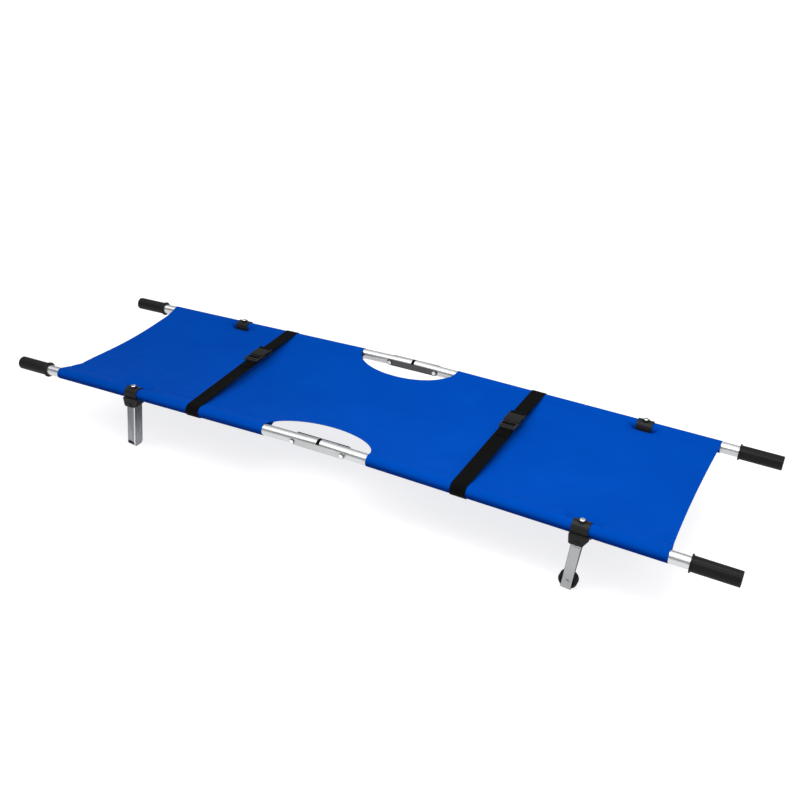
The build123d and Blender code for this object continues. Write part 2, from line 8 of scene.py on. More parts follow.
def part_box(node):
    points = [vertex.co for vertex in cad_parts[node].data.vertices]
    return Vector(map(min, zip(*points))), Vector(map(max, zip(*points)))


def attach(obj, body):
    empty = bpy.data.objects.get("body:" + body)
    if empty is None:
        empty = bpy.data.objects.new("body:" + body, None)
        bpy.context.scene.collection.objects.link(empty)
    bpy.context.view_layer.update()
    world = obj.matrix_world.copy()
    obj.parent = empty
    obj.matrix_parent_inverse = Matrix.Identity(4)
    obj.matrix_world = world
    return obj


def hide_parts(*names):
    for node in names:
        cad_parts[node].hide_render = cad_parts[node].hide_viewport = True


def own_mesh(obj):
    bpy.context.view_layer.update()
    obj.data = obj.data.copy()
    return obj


# Folding stretcher: the fabric, straps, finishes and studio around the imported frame. Metres.
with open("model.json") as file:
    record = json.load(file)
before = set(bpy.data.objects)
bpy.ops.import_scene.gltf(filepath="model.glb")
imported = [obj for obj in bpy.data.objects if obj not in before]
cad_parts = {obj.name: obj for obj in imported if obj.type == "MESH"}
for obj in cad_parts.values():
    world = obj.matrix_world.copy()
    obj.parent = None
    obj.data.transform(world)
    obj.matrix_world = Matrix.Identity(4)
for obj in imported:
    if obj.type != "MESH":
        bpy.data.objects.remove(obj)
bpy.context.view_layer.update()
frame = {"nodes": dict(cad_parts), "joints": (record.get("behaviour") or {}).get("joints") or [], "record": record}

SIDES = {"right": -1, "left": 1}
ENDS = {"head": -1, "foot": 1}
BODIES = {"head": "right_head", "mid": "right_link", "foot": "right_foot"}


# --- places taken from the frame ------------------------------------------------------------------
def middle(node):
    low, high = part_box(node)
    return (low + high) / 2


joints = {joint["name"]: joint for joint in frame["joints"]}
rivet_x = joints["right_foot_fold"]["pos_m"][0]
hinge_height = joints["length_fold"]["pos_m"][2]
half_span = -joints["length_fold"]["pos_m"][1]  # pole axis to mid width
station_x = {"head": middle("right_head_upper_clamp").x, "foot": middle("right_foot_upper_clamp").x}
bed_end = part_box("right_foot_canvas_sleeve")[1].x
sleeve_start = {"head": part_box("right_head_canvas_sleeve")[1].x,
                "foot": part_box("right_foot_canvas_sleeve")[0].x}
sleeve_middle = middle("right_foot_canvas_sleeve")
pole_fall = (hinge_height - sleeve_middle.z) / (sleeve_middle.x - rivet_x)  # drop per metre outward
gap_low, gap_high = sleeve_start["head"], sleeve_start["foot"]
gap_centre = (gap_low + gap_high) / 2
gap_half = (gap_high - gap_low) / 2

# --- cloth sizes ----------------------------------------------------------------------------------
cloth = 0.0006
layer_step = cloth * 1.1  # between the two layers that meet at a sleeve's seam
bed_proud = 0.001  # from its solid's lowest point up to the cloth's middle surface
sleeve_radius = 0.0158  # to the middle of the cloth
seam_inset = 0.030  # the sleeve's sewn seam, inward from the pole's axis
gap_depth = 0.090  # how far a hand gap reaches in from the pole's axis
foot_hollow = 0.007  # how far the foot end's hem curves in
head_hollow = 0.015  # how far the head end's straight hem lies in
corner_inset = 0.060  # where the head end's corners turn, in from the pole's axis
corner_hollow = {"right": 0.023, "left": 0.013}
corner_fade = 0.05
end_blend = 0.14  # how far from the bed's end its hollow reaches
mid_dip = hinge_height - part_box("mid_canvas")[0].z - bed_proud
pinch_inset = 0.0198  # the clamp's inner skirt ends here
pinch_height = -0.0049
pinch_reach = 0.25  # along the pole from a clamp, past which the cloth isn't pulled
pinch_spread = 0.015
pinch_widening = 0.55
pinch_fade = 0.024
low_near_inset = 0.0163  # where the sleeve turns up to the pole, under it
high_near_inset = 0.0172  # and over it
clamp_half = 0.022
crease_depth = 0.0011  # of the crease along a sleeve's seam
crease_width = 0.006
slack_height = 0.0016  # of the bed's slow unevenness, full from slack_inset past the seam
slack_inset = 0.08
pucker_height = 0.00012  # of the small waves along a sleeve's seam
pucker_width = 0.008
pucker_rate = 900  # radians per metre
gap_blend = 0.045  # how far the hand gap's curve and the end's hollow reach along a sleeve
hollow_blend = 0.03
hem_width = 0.014
hem_rise = 0.0005
hem_stitch = 0.003  # from a hem's inner edge out to its stitches


def ramp(x):
    """Distance outward past the hinge rivets, rounded off where it starts."""
    past = abs(x) - rivet_x
    return (past + math.hypot(past, 0.03)) / 2


def axis_height(x):
    return hinge_height - ramp(x) * pole_fall


end_dip = axis_height(bed_end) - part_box("foot_canvas")[0].z - bed_proud


def hang(x, inset):
    """Height over the pole's axis of the plain cloth, hung from pole top to pole top."""
    dip = mid_dip + (end_dip - mid_dip) * ramp(x) / (bed_end - rivet_x)
    tilt = math.atan(2 * (sleeve_radius + dip) / half_span)
    for _ in range(2):
        leave = sleeve_radius * math.sin(tilt)
        drop = sleeve_radius * math.cos(tilt) + dip
        tilt = math.atan(2 * drop / (half_span - leave))
    run = inset - leave
    slope = math.tan(tilt)
    return sleeve_radius * math.cos(tilt) - slope * run + slope * run * run / (2 * (half_span - leave))


def pinch(x, inset):
    """How far a clamp pulls the cloth down beside its pole."""
    total = 0.0
    for station in station_x.values():
        reach = max(0.0, abs(x - station) - clamp_half)
        if reach > pinch_reach:
            continue
        past = max(0.0, inset - pinch_inset)
        spread = pinch_spread + pinch_widening * past
        depth = hang(x, pinch_inset) - pinch_height
        total += depth * math.exp(-past / pinch_fade) * math.exp(-(reach / spread) ** 2)
    return total


def cloth_height(x, inset):
    """Height over the pole's axis of the bed cloth's middle surface."""
    crease = crease_depth * math.exp(-((inset - seam_inset) / crease_width) ** 2)
    slack = noise.noise(Vector((x * 3.1, inset * 6.0, 0.7))) * slack_height
    settled = min(1.0, max(0.0, (inset - seam_inset) / slack_inset))
    return hang(x, inset) - crease - pinch(x, inset) + slack * settled


def gap_edge(x):
    """How far inward from the pole's axis a hand gap reaches at x, or 0 outside it."""
    share = (x - gap_centre) / gap_half
    return gap_depth * math.sqrt(1 - share * share) if abs(share) < 1 else 0.0


def gap_end(end, inset):
    """The x where the cloth starts at this inset, on one end's side of the hand gap."""
    share = min(1.0, max(0.0, inset / gap_depth))
    return gap_centre + end * gap_half * math.sqrt(1 - share * share)


# --- meshes ---------------------------------------------------------------------------------------
def finish_mesh(name, points, faces, uvs, angle=40):
    mesh = bpy.data.meshes.new(name)
    mesh.from_pydata(points, [], faces)
    layer = mesh.uv_layers.new(name="flat")
    for loop in mesh.loops:
        layer.data[loop.index].uv = uvs[loop.vertex_index]
    mesh.validate()
    mesh.update()
    mesh.shade_smooth()
    mesh.set_sharp_from_angle(angle=math.radians(angle))
    piece = bpy.data.objects.new(name, mesh)
    bpy.context.scene.collection.objects.link(piece)
    return piece


def grid_normals(rows):
    last_row, last_column = len(rows) - 1, len(rows[0]) - 1
    normals = []
    for i, row in enumerate(rows):
        above, below = rows[min(i + 1, last_row)], rows[max(i - 1, 0)]
        line = []
        for j in range(last_column + 1):
            along = above[j] - below[j]
            across = row[min(j + 1, last_column)] - row[max(j - 1, 0)]
            line.append(along.cross(across).normalized())
        normals.append(line)
    return normals


def turned(rows):
    """The same rows, each the other way round, so that the sheet faces the other way."""
    return [row[::-1] for row in rows]


def shell(name, rows, uvs, thickness, edge=None):
    """A closed sheet of cloth round a grid of middle points; edge(i, j) adds to its thickness."""
    height, width = len(rows), len(rows[0])
    normals = grid_normals(rows)
    points, flat = [], []
    for way in (1, -1):
        for i in range(height):
            for j in range(width):
                half = thickness / 2 + (edge(i, j) if edge and way > 0 else 0.0)
                points.append(rows[i][j] + normals[i][j] * (way * half))
                flat.append(uvs[i][j])
    count = height * width
    faces = []
    for i in range(height - 1):
        for j in range(width - 1):
            a, b = i * width + j, (i + 1) * width + j
            faces.append((a, b, b + 1, a + 1))
            faces.append((count + a, count + a + 1, count + b + 1, count + b))
    rim = list(range(width))
    rim += [i * width + width - 1 for i in range(1, height)]
    rim += [(height - 1) * width + j for j in range(width - 2, -1, -1)]
    rim += [i * width for i in range(height - 2, 0, -1)]
    for k, a in enumerate(rim):
        b = rim[(k + 1) % len(rim)]
        faces.append((a, b, count + b, count + a))
    return finish_mesh(name, points, faces, flat)


def stitches(name, lines, pitch=0.0042, length=0.0029, thread=0.00028):
    """Short raised threads along each line of (point, normal) pairs."""
    sides = 6
    points, faces = [], []
    for line in lines:
        spent, target = 0.0, pitch / 2
        for (start, normal), (stop, _) in zip(line, line[1:]):
            step = (stop - start).length
            while step > 0 and target <= spent + step:
                centre = start.lerp(stop, (target - spent) / step)
                along = (stop - start).normalized()
                across = along.cross(normal).normalized()
                base = len(points)
                for share, lift in ((-0.5, -0.6), (-0.3, 0.5), (0.3, 0.5), (0.5, -0.6)):
                    ring = centre + along * (length * share) + normal * (thread * lift)
                    for k in range(sides):
                        turn = 2 * math.pi * k / sides
                        points.append(ring + across * (thread * math.cos(turn))
                                      + normal * (thread * math.sin(turn)))
                for i in range(3):
                    for k in range(sides):
                        a, b = base + i * sides + k, base + i * sides + (k + 1) % sides
                        faces.append((a, b, b + sides, a + sides))
                faces.append(tuple(base + k for k in range(sides - 1, -1, -1)))
                faces.append(tuple(base + 3 * sides + k for k in range(sides)))
                target += pitch
            spent += step
    return finish_mesh(name, points, faces, [(0, 0)] * len(points))


def refined(start, stop, size, places):
    """Positions from start to stop, closer together near each (place, reach, size)."""
    found, x = [start], start
    while x < stop:
        near = [fine for place, reach, fine in places if abs(x - place) < reach]
        x += min(near + [size])
        found.append(min(x, stop))
    if len(found) > 2 and found[-1] - found[-2] < size / 6:
        found.pop(-2)
    return found


# --- the bed: three stretches between the seams ---------------------------------------------------
def edge_inset(x):
    """How far in from the pole's axis a bed stretch starts: at the seam or at the hand gap."""
    return max(seam_inset, gap_edge(x))


def bed_columns(count=104):
    """Shares across the bed from -1 to 1, closer together towards the poles."""
    shares = []
    for j in range(count + 1):
        s = 2 * j / count - 1
        shares.append(0.45 * s + 0.55 * math.sin(s * math.pi / 2))
    return shares


def end_hollow(end, y):
    """How far the hem lies in from the bed's end at y: an arc at the foot, a cut edge at the head."""
    if end > 0:
        return foot_hollow * max(0.0, 1 - (y / (half_span - seam_inset)) ** 2)
    hollow = head_hollow * min(1.0, (half_span - abs(y)) / corner_inset)
    for side_name, side in SIDES.items():
        inset = half_span - side * y
        corner = min(1.0, inset / corner_inset) * math.exp(-max(0.0, inset - corner_inset) / corner_fade)
        hollow += (corner_hollow[side_name] - head_hollow) * corner
    return hollow


def bed_surface(x, y):
    return Vector((x, y, axis_height(x) + cloth_height(x, half_span - abs(y))))


def bed_normal(x, y):
    step = 0.002
    a = bed_surface(x + step, y) - bed_surface(x - step, y)
    b = bed_surface(x, y + step) - bed_surface(x, y - step)
    return a.cross(b).normalized()


def bed_point(row_x, share):
    """A point of the bed, with the ends of the bed hollowed."""
    end_reach = max(0.0, min(1.0, (abs(row_x) - bed_end + end_blend) / end_blend))
    y = share * (half_span - edge_inset(row_x))
    end = math.copysign(1, row_x)
    x = row_x - end * end_hollow(end, y) * end_reach ** 2
    return bed_surface(x, y)


def bed_hem(point):
    """Extra thickness of the folded hems at the bed's ends and round the hand gaps."""
    inset = half_span - abs(point.y)
    share = math.hypot((point.x - gap_centre) / gap_half, inset / gap_depth)
    to_gap = (share - 1) / share * math.hypot(point.x - gap_centre, inset)
    to_end = bed_end - end_hollow(math.copysign(1, point.x), point.y) - abs(point.x)
    distance = min(to_gap, to_end)
    fade = (hem_width - distance) / 0.002 + 0.5
    groove = math.exp(-((distance - hem_width + hem_stitch) / 0.0011) ** 2)
    return hem_rise * (max(0.0, min(1.0, fade)) - 0.45 * groove)


def make_bed(name, start, stop):
    fine = [(bed_end, 0.020, 0.002), (-bed_end, 0.020, 0.002)]
    fine += [(gap_end(end, seam_inset), 0.014, 0.0015) for end in ENDS.values()]
    fine += [(gap_centre + end * gap_half * 0.85, 0.03, 0.004) for end in ENDS.values()]
    fine += [(x, 0.075, 0.0045) for x in station_x.values()]
    row_x = refined(start, stop, 0.008, fine)
    shares = bed_columns()
    rows = [[bed_point(x, s) for s in shares] for x in row_x]
    uvs = [[(p.x, p.y) for p in row] for row in rows]
    piece = shell(f"{name}_bed", rows, uvs, cloth, edge=lambda i, j: bed_hem(rows[i][j]))
    return piece, rows


def hem_line(start, stop):
    """Stitch paths on the hems that lie between start and stop along the bed."""
    lines = []
    inset = hem_width - hem_stitch
    top = cloth / 2 + hem_rise * 0.55
    for end in ENDS.values():
        if not start <= end * (bed_end - 0.02) <= stop:
            continue
        line = []
        reach = half_span - seam_inset
        for i in range(161):
            y = reach * (i / 80 - 1)
            x = end * (bed_end - inset - end_hollow(end, y))
            normal = bed_normal(x, y)
            line.append((bed_surface(x, y) + normal * top, normal))
        lines.append(line)
    for side in SIDES.values():
        line = []
        for i in range(241):
            turn = math.pi * i / 240
            across = math.hypot(gap_half * math.sin(turn), gap_depth * math.cos(turn))
            x = gap_centre - (gap_half + inset * gap_depth / across) * math.cos(turn)
            away = (gap_depth + inset * gap_half / across) * math.sin(turn)
            if away < seam_inset + 0.001 or not start < x < stop:
                continue
            y = side * (half_span - away)
            normal = bed_normal(x, y)
            line.append((bed_surface(x, y) + normal * top, normal))
        if len(line) > 2:
            lines.append(line)
    return lines


# --- the sleeves round the poles ------------------------------------------------------------------
def round_pole(radius, turn):
    """(inset, height) of a point round the pole; turn is in degrees, 0 inward and 90 up."""
    return radius * math.cos(math.radians(turn)), radius * math.sin(math.radians(turn))


def leave_circle(radius, inset, height, way):
    """The angle where a straight line from a point touches the circle, above or below."""
    far = math.hypot(inset, height)
    return math.degrees(math.atan2(height, inset) + way * math.acos(min(1.0, radius / far)))


def sleeve_section(x):
    """The sleeve's outline at x: from the seam, under and round the pole, and back to the seam."""
    squeeze = pinch(x, pinch_inset) / (hang(x, pinch_inset) - pinch_height)
    top_seam = cloth_height(x, seam_inset)
    low_seam = top_seam - layer_step
    plain = leave_circle(sleeve_radius, seam_inset, low_seam, -1)
    touch = round_pole(sleeve_radius, plain)

    def low_line(inset):
        share = (inset - touch[0]) / (seam_inset - touch[0])
        return touch[1] + (low_seam - touch[1]) * share

    pinched = pinch_height - cloth * 1.08
    low_far = low_line(pinch_inset) * (1 - squeeze) + pinched * squeeze
    low_near = low_line(low_near_inset) * (1 - squeeze) + pinched * squeeze
    section = []
    for i in range(6):
        inset = seam_inset + (pinch_inset - seam_inset) * i / 6
        share = i / 6
        section.append((inset, low_seam + (low_far - low_seam) * share))
    section += [(pinch_inset, low_far), (0.0180, (low_far + low_near) / 2), (low_near_inset, low_near)]
    low_turn = leave_circle(sleeve_radius, low_near_inset, low_near, -1)
    touch_low = round_pole(sleeve_radius, low_turn)
    for share in (0.33, 0.66):
        section.append((low_near_inset + (touch_low[0] - low_near_inset) * share,
                        low_near + (touch_low[1] - low_near) * share))
    near = cloth_height(x, high_near_inset)
    if squeeze > 0:
        near = near * (1 - squeeze) + pinch_height * squeeze
    high_turn = leave_circle(sleeve_radius, high_near_inset, near, 1)
    count = 44
    for i in range(count + 1):
        turn = low_turn + (high_turn - 360 - low_turn) * i / count
        section.append(round_pole(sleeve_radius, turn))
    touch_high = round_pole(sleeve_radius, high_turn)
    for share in (0.3, 0.65):
        section.append((touch_high[0] + (high_near_inset - touch_high[0]) * share,
                        touch_high[1] + (near - touch_high[1]) * share))
    section += [(high_near_inset, near), (pinch_inset, cloth_height(x, pinch_inset))]
    for i in range(1, 6):
        inset = pinch_inset + (seam_inset - pinch_inset) * i / 5
        section.append((inset, cloth_height(x, inset)))
    return section


def make_sleeve(side_name, end_name):
    side, end = SIDES[side_name], ENDS[end_name]
    start, stop = sleeve_start[end_name], end * bed_end
    low, high = min(start, stop), max(start, stop)
    fine = [(start, 0.03, 0.002), (stop, 0.01, 0.002)]
    fine += [(x, 0.055, 0.002) for x in station_x.values()]
    row_x = refined(low, high, 0.006, fine)
    rows, uvs = [], []
    for x in row_x:
        section = sleeve_section(x)
        back = max(0.0, 1 - abs(x - start) / gap_blend) ** 2
        out = max(0.0, 1 - abs(x - stop) / hollow_blend) ** 2
        row, flat, travel = [], [], 0.0
        previous = None
        for inset, height in section:
            moved = x
            if inset > 0:
                moved += (gap_end(end, inset) - start) * back
                moved -= end * end_hollow(end, side * (half_span - inset)) * out
            pucker = pucker_height * math.sin(moved * pucker_rate)
            pucker *= math.exp(-((inset - seam_inset) / pucker_width) ** 2)
            point = Vector((moved, side * (half_span - inset), axis_height(moved) + height + pucker))
            if previous is not None:
                travel += math.dist(previous, (inset, height))
            previous = (inset, height)
            row.append(point)
            flat.append((moved, travel))
        rows.append(row)
        uvs.append(flat)
    if side < 0:
        rows, uvs = turned(rows), turned(uvs)
    return shell(f"{side_name}_{end_name}_sleeve", rows, uvs, cloth)


def seam_lines(side, end_name):
    end = ENDS[end_name]
    inset = seam_inset - 0.0028
    start = gap_end(end, inset) + end * 0.002
    stop = end * (bed_end - 0.001)
    line = []
    for i in range(361):
        x = start + (stop - start) * i / 360
        y = side * (half_span - inset)
        normal = bed_normal(x, y)
        line.append((bed_surface(x, y) + normal * (cloth / 2), normal))
    return [line]


# --- materials ------------------------------------------------------------------------------------
class Finish:
    """A material with one Principled shader, and short ways to add procedural nodes to it."""

    def __init__(self, name, colour, roughness, metallic=0.0, **sockets):
        self.material = bpy.data.materials.new(name)
        self.material.use_nodes = True
        self.tree = self.material.node_tree
        self.tree.nodes.clear()
        self.shader = self.add("ShaderNodeBsdfPrincipled")
        output = self.add("ShaderNodeOutputMaterial")
        self.join(self.shader.outputs["BSDF"], output.inputs["Surface"])
        self.shader.inputs["Base Color"].default_value = (*colour, 1)
        self.shader.inputs["Roughness"].default_value = roughness
        self.shader.inputs["Metallic"].default_value = metallic
        for label, value in sockets.items():
            self.shader.inputs[label.replace("_", " ")].default_value = value
        self.height = None

    def add(self, kind, **values):
        node = self.tree.nodes.new(kind)
        for key, value in values.items():
            setattr(node, key, value)
        return node

    def join(self, source, target):
        self.tree.links.new(source, target)

    def place(self, stretch=(1, 1, 1), source="Object", spin=(0, 0, 0)):
        """Texture coordinates, stretched along each axis."""
        coordinates = self.add("ShaderNodeTexCoord")
        mapping = self.add("ShaderNodeMapping")
        mapping.inputs["Scale"].default_value = stretch
        mapping.inputs["Rotation"].default_value = spin
        self.join(coordinates.outputs[source], mapping.inputs["Vector"])
        return mapping.outputs["Vector"]

    def noise(self, vector, scale, detail=3.0, roughness=0.5):
        node = self.add("ShaderNodeTexNoise")
        node.inputs["Scale"].default_value = scale
        node.inputs["Detail"].default_value = detail
        node.inputs["Roughness"].default_value = roughness
        self.join(vector, node.inputs["Vector"])
        return node.outputs["Fac"]

    def wave(self, vector, scale, direction, distortion=0.0):
        node = self.add("ShaderNodeTexWave", bands_direction=direction, wave_profile="SIN")
        node.inputs["Scale"].default_value = scale
        node.inputs["Distortion"].default_value = distortion
        self.join(vector, node.inputs["Vector"])
        return node.outputs["Fac"]

    def ramp(self, factor, *stops):
        """A colour or grey from a factor; each stop is (position, colour)."""
        node = self.add("ShaderNodeValToRGB")
        elements = node.color_ramp.elements
        while len(elements) < len(stops):
            elements.new(0.5)
        for element, (position, colour) in zip(elements, stops):
            element.position = position
            element.color = (*colour, 1) if hasattr(colour, "__len__") else (colour, colour, colour, 1)
        self.join(factor, node.inputs["Fac"])
        return node.outputs["Color"]

    def blend(self, kind, factor, first, second):
        node = self.add("ShaderNodeMix", data_type="RGBA", blend_type=kind)
        for value, socket in ((factor, node.inputs[0]), (first, node.inputs[6]), (second, node.inputs[7])):
            if isinstance(value, bpy.types.NodeSocket):
                self.join(value, socket)
            else:
                socket.default_value = value
        return node.outputs[2]

    def combine(self, kind, first, second):
        node = self.add("ShaderNodeMath", operation=kind)
        for value, socket in ((first, node.inputs[0]), (second, node.inputs[1])):
            if isinstance(value, bpy.types.NodeSocket):
                self.join(value, socket)
            else:
                socket.default_value = value
        return node.outputs[0]

    def colour(self, socket):
        self.join(socket, self.shader.inputs["Base Color"])

    def rough(self, socket):
        self.join(socket, self.shader.inputs["Roughness"])

    def bump(self, height, distance, strength=1.0):
        node = self.add("ShaderNodeBump")
        node.inputs["Distance"].default_value = distance
        node.inputs["Strength"].default_value = strength
        self.join(height, node.inputs["Height"])
        if self.height is not None:
            self.join(self.height, node.inputs["Normal"])
        self.height = node.outputs["Normal"]
        self.join(self.height, self.shader.inputs["Normal"])

    def upward(self):
        """0 where the surface faces down, 0.5 where it is upright and 1 where it faces up."""
        coordinates = self.add("ShaderNodeTexCoord")
        split = self.add("ShaderNodeSeparateXYZ")
        self.join(coordinates.outputs["Normal"], split.inputs[0])
        return self.combine("ADD", self.combine("MULTIPLY", split.outputs["Z"], 0.5), 0.5)

    def tallness(self):
        """0 at the piece's lowest point and 1 at its highest."""
        coordinates = self.add("ShaderNodeTexCoord")
        split = self.add("ShaderNodeSeparateXYZ")
        self.join(coordinates.outputs["Generated"], split.inputs[0])
        return split.outputs["Z"]

    def edges(self, low=0.49, high=0.56):
        """1 on worn convex edges and 0 elsewhere."""
        geometry = self.add("ShaderNodeNewGeometry")
        return self.ramp(geometry.outputs["Pointiness"], (low, 0.0), (high, 1.0))


def grey(value):
    return (value, value, value, 1)


def canvas_finish():
    """Coated plain-weave cloth: fine weave, soft tone changes, painted shade where it faces down, hardly any
    gloss.
    """
    finish = Finish("blue_canvas", (0.0, 0.055, 0.37), 0.6, Specular_IOR_Level=0.008,
                    Specular_Tint=(0.05, 0.35, 1.0, 1.0))
    flat = finish.place(source="UV")
    tone = finish.noise(flat, 5.0, 4.0, 0.55)
    colour = finish.ramp(tone, (0.3, (0.0, 0.046, 0.315)), (0.7, (0.0, 0.053, 0.35)))
    warp = finish.wave(flat, 320.0, "X")
    weft = finish.wave(flat, 320.0, "Y")
    weave = finish.combine("MULTIPLY", warp, weft)
    threads = finish.ramp(weave, (0.0, 0.90), (0.6, 1.0))
    colour = finish.blend("MULTIPLY", 1.0, colour, threads)
    # painted shade: the cloth is darker where it faces down, as on the sleeves' undersides
    painted_underside_shade = finish.ramp(finish.upward(), (0.40, (0.26, 0.35, 0.46)), (0.74, (1.0, 1.0, 1.0)))
    finish.colour(finish.blend("MULTIPLY", 1.0, colour, painted_underside_shade))
    finish.rough(finish.ramp(finish.noise(flat, 28.0, 5.0, 0.6), (0.3, 0.52), (0.7, 0.66)))
    finish.bump(weave, 0.00006)
    finish.bump(finish.noise(flat, 70.0, 4.0, 0.6), 0.00025, 0.5)
    return finish.material


def webbing_finish():
    finish = Finish("black_webbing", (0.004, 0.004, 0.0045), 0.8, Specular_IOR_Level=0.03)
    flat = finish.place(source="UV")
    ribs = finish.wave(flat, 210.0, "Y", 0.6)
    cross = finish.wave(flat, 150.0, "X")
    weave = finish.combine("MULTIPLY", ribs, cross)
    fuzz = finish.noise(flat, 420.0, 3.0, 0.6)
    finish.colour(finish.ramp(weave, (0.1, (0.0015, 0.0015, 0.0017)), (0.9, (0.005, 0.005, 0.0056))))
    finish.rough(finish.ramp(fuzz, (0.3, 0.6), (0.7, 0.82)))
    finish.bump(weave, 0.00025)
    return finish.material


def thread_finish(name, colour):
    finish = Finish(name, colour, 0.6, Specular_IOR_Level=0.05)
    twist = finish.wave(finish.place(spin=(0, 0, 0.6)), 900.0, "DIAGONAL")
    dark = tuple(0.8 * c for c in colour)
    finish.colour(finish.ramp(twist, (0.2, dark), (0.8, colour)))
    finish.bump(twist, 0.00005)
    return finish.material


def drawn_metal(name, colour, rough, streak, tint=0.06, grain=1.0, top=1.0):
    """Metal with fine streaks along one axis: streak stretches the texture, top darkens the upper end with painted
    shade.
    """
    finish = Finish(name, colour, rough, 1.0)
    lines = finish.noise(finish.place(streak), 14.0, 6.0, 0.65)
    cloud = finish.noise(finish.place(), 9.0, 4.0, 0.55)
    dark = tuple(c * (1 - tint) for c in colour)
    light = tuple(min(1.0, c * (1 + tint / 2)) for c in colour)
    base = finish.ramp(lines, (0.3, dark), (0.7, light))
    stain = finish.ramp(cloud, (0.35, 0.90), (0.6, 1.0))
    base = finish.blend("MULTIPLY", 1.0, base, stain)
    # painted shade: darker towards the top, where the clamp above shades a leg
    if top != 1.0:
        base = finish.blend("MULTIPLY", 1.0, base, finish.ramp(finish.tallness(), (0.2, 1.0), (0.8, top)))
    finish.colour(base)
    finish.rough(finish.ramp(lines, (0.25, rough * 0.8), (0.75, min(1.0, rough * 1.3))))
    finish.bump(lines, 0.00004 * grain)
    return finish.material


def moulded(name, colour, rough, texture, size, worn, spec):
    """Moulded plastic or rubber with a grained skin and slightly rubbed edges."""
    finish = Finish(name, colour, rough, Specular_IOR_Level=spec)
    skin = finish.noise(finish.place(), texture, 3.0, 0.6)
    cloud = finish.noise(finish.place(), 22.0, 4.0, 0.6)
    light = tuple(c * 1.8 + 0.001 for c in colour)
    base = finish.ramp(cloud, (0.3, colour), (0.75, light))
    rub = tuple(c + worn for c in colour)
    finish.colour(finish.blend("MIX", finish.edges(), base, (*rub, 1)))
    finish.rough(finish.ramp(cloud, (0.3, rough * 0.85), (0.7, min(1.0, rough * 1.2))))
    finish.bump(skin, size)
    return finish.material


canvas = canvas_finish()
webbing = webbing_finish()
blue_thread = thread_finish("blue_thread", (0.0, 0.058, 0.36))
black_thread = thread_finish("black_thread", (0.012, 0.012, 0.013))
tube_streak = (0.4, 26, 26)  # texture stretches: drawn along x
plate_streak = (0.5, 30, 30)
leg_streak = (22, 22, 0.5)  # drawn along z
aluminium = drawn_metal("drawn_aluminium", (0.61, 0.615, 0.62), 0.27, tube_streak)
steel = drawn_metal("brushed_steel", (0.50, 0.505, 0.51), 0.36, plate_streak)
# painted shade: a dark copy of the link steel for the hinge links' inner sides
dull_steel = drawn_metal("dull_steel", (0.10, 0.101, 0.103), 0.45, plate_streak, tint=0.12)
# painted shade: the leg's zinc darkens towards its upper end, under the clamp
streaked_zinc = drawn_metal("streaked_zinc", (0.30, 0.31, 0.33), 0.30, leg_streak,
                            tint=0.45, grain=2.0, top=0.65)
# painted shade: a darker copy of the leg's zinc for the head legs' flanges, turned from the light, darkest at the
# top
shaded_zinc = drawn_metal("shaded_zinc", (0.27, 0.28, 0.295), 0.34, leg_streak,
                          tint=0.45, grain=2.0, top=0.3)
# painted shade: a dark copy of the zinc for rivet and axle rims, flanges and the legs' inner faces
dark_zinc = drawn_metal("dark_zinc", (0.06, 0.062, 0.066), 0.42, leg_streak, tint=0.14)
pale_zinc = drawn_metal("pale_zinc", (0.40, 0.41, 0.415), 0.50, (22, 22, 0.7), tint=0.08)
plated = drawn_metal("plated_steel", (0.50, 0.51, 0.52), 0.36, (18, 0.5, 18), tint=0.10)
chrome = drawn_metal("polished_rivet", (0.80, 0.805, 0.81), 0.16, (30, 30, 30), tint=0.03, grain=0.4)
# painted highlight: a bright copy of the zinc for the bend between a leg's web and flange
bright_bend = drawn_metal("bright_bend", (0.78, 0.79, 0.81), 0.25, leg_streak, tint=0.10, top=0.8)
clamp_black = moulded("clamp_black", (0.002, 0.002, 0.0024), 0.40, 900, 0.00006, worn=0.010, spec=0.10)
plug_black = moulded("plug_black", (0.002, 0.002, 0.002), 0.6, 900, 0.00005, worn=0.006, spec=0.1)
grip_rubber = moulded("grip_rubber", (0.003, 0.003, 0.0033), 0.5, 700, 0.00012, worn=0.008, spec=0.15)
wheel_rubber = moulded("wheel_rubber", (0.004, 0.004, 0.004), 0.70, 500, 0.00015, worn=0.008, spec=0.12)
buckle_black = moulded("buckle_black", (0.0015, 0.0015, 0.0018), 0.28, 1200, 0.00003,
                       worn=0.02, spec=0.07)

SLOT_FINISH = {
    "pole_aluminium": aluminium, "black_plastic": plug_black, "grip_rubber": grip_rubber,
    "canvas_blue": canvas, "clamp_black": clamp_black, "rivet_chrome": chrome,
    "webbing_black": webbing, "leg_steel": streaked_zinc, "leg_zinc": pale_zinc, "link_steel": steel,
    "spreader_steel": plated, "buckle_plastic": buckle_black, "wheel_rubber": wheel_rubber,
}
for part in frame["record"]["subparts"]:
    node = frame["nodes"][part["node"]]
    node.data.materials.clear()
    node.data.materials.append(SLOT_FINISH[part["material_slot"]])


def finish_faces(node_name, second, chosen):
    """Gives the chosen faces of a CAD node another finish."""
    mesh = frame["nodes"][node_name].data
    mesh.materials.append(second)
    for face in mesh.polygons:
        if chosen(face):
            face.material_index = len(mesh.materials) - 1


